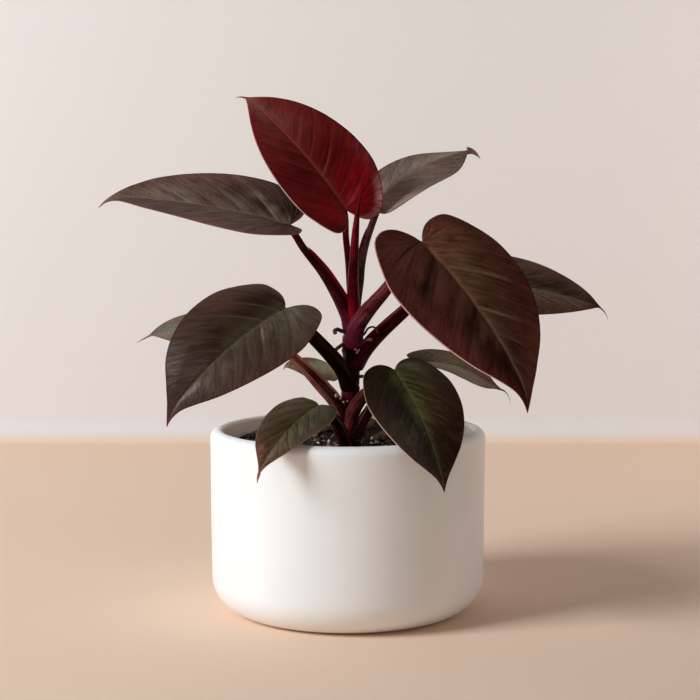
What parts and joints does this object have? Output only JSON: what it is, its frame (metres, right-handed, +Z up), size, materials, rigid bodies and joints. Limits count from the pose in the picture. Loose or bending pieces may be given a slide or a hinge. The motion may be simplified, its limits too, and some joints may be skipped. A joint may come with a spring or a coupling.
{
  "type": "potted philodendron",
  "caption": "Young foliage plant with glossy heart-shaped leaves, wine red to olive green, on long stalks from a short stem, in a plain round white ceramic cover pot.",
  "frame": {"origin": "centre of the pot's flat base, on the surface it stands on", "axes": "+Z up, -Y towards the viewer whom the broad leaves face, +X to that viewer's right"},
  "size_m": [0.2952, 0.1921, 0.2955],
  "materials": {
    "pot_glaze": "satin",
    "potting_soil": "matte",
    "bark": "matte",
    "stem_skin": "satin",
    "spike_skin": "gloss",
    "petiole_skin": "satin",
    "root_skin": "matte",
    "wine_blade": "gloss",
    "bronze_blade": "satin",
    "burgundy_blade": "satin",
    "dark_olive_blade": "satin",
    "olive_blade": "satin",
    "sage_blade": "satin"
  },
  "bodies": {
    "root": {"ceramic_pot": "pot_glaze", "potting_soil": "potting_soil", "main_stem": "stem_skin", "new_leaf_spike": "spike_skin", "aerial_root_1": "root_skin", "aerial_root_2": "root_skin", "aerial_root_3": "root_skin", "aerial_root_4": "root_skin", "aerial_root_5": "root_skin", "bark_chip_1": "bark", "bark_chip_2": "bark", "bark_chip_3": "bark", "bark_chip_4": "bark", "bark_chip_5": "bark", "bark_chip_6": "bark", "crown_leaf_blade": "wine_blade", "crown_leaf_petiole": "petiole_skin", "high_left_leaf_blade": "bronze_blade", "high_left_leaf_petiole": "petiole_skin", "high_back_leaf_blade": "bronze_blade", "high_back_leaf_petiole": "petiole_skin", "front_right_leaf_blade": "burgundy_blade", "front_right_leaf_petiole": "petiole_skin", "right_leaf_blade": "dark_olive_blade", "right_leaf_petiole": "petiole_skin", "front_left_leaf_blade": "dark_olive_blade", "front_left_leaf_petiole": "petiole_skin", "left_leaf_blade": "sage_blade", "left_leaf_petiole": "petiole_skin", "small_back_leaf_blade": "sage_blade", "small_back_leaf_petiole": "petiole_skin", "low_left_leaf_blade": "olive_blade", "low_left_leaf_petiole": "petiole_skin", "low_front_leaf_blade": "olive_blade", "low_front_leaf_petiole": "petiole_skin", "low_right_leaf_blade": "sage_blade", "low_right_leaf_petiole": "petiole_skin"}
  },
  "joints": []
}
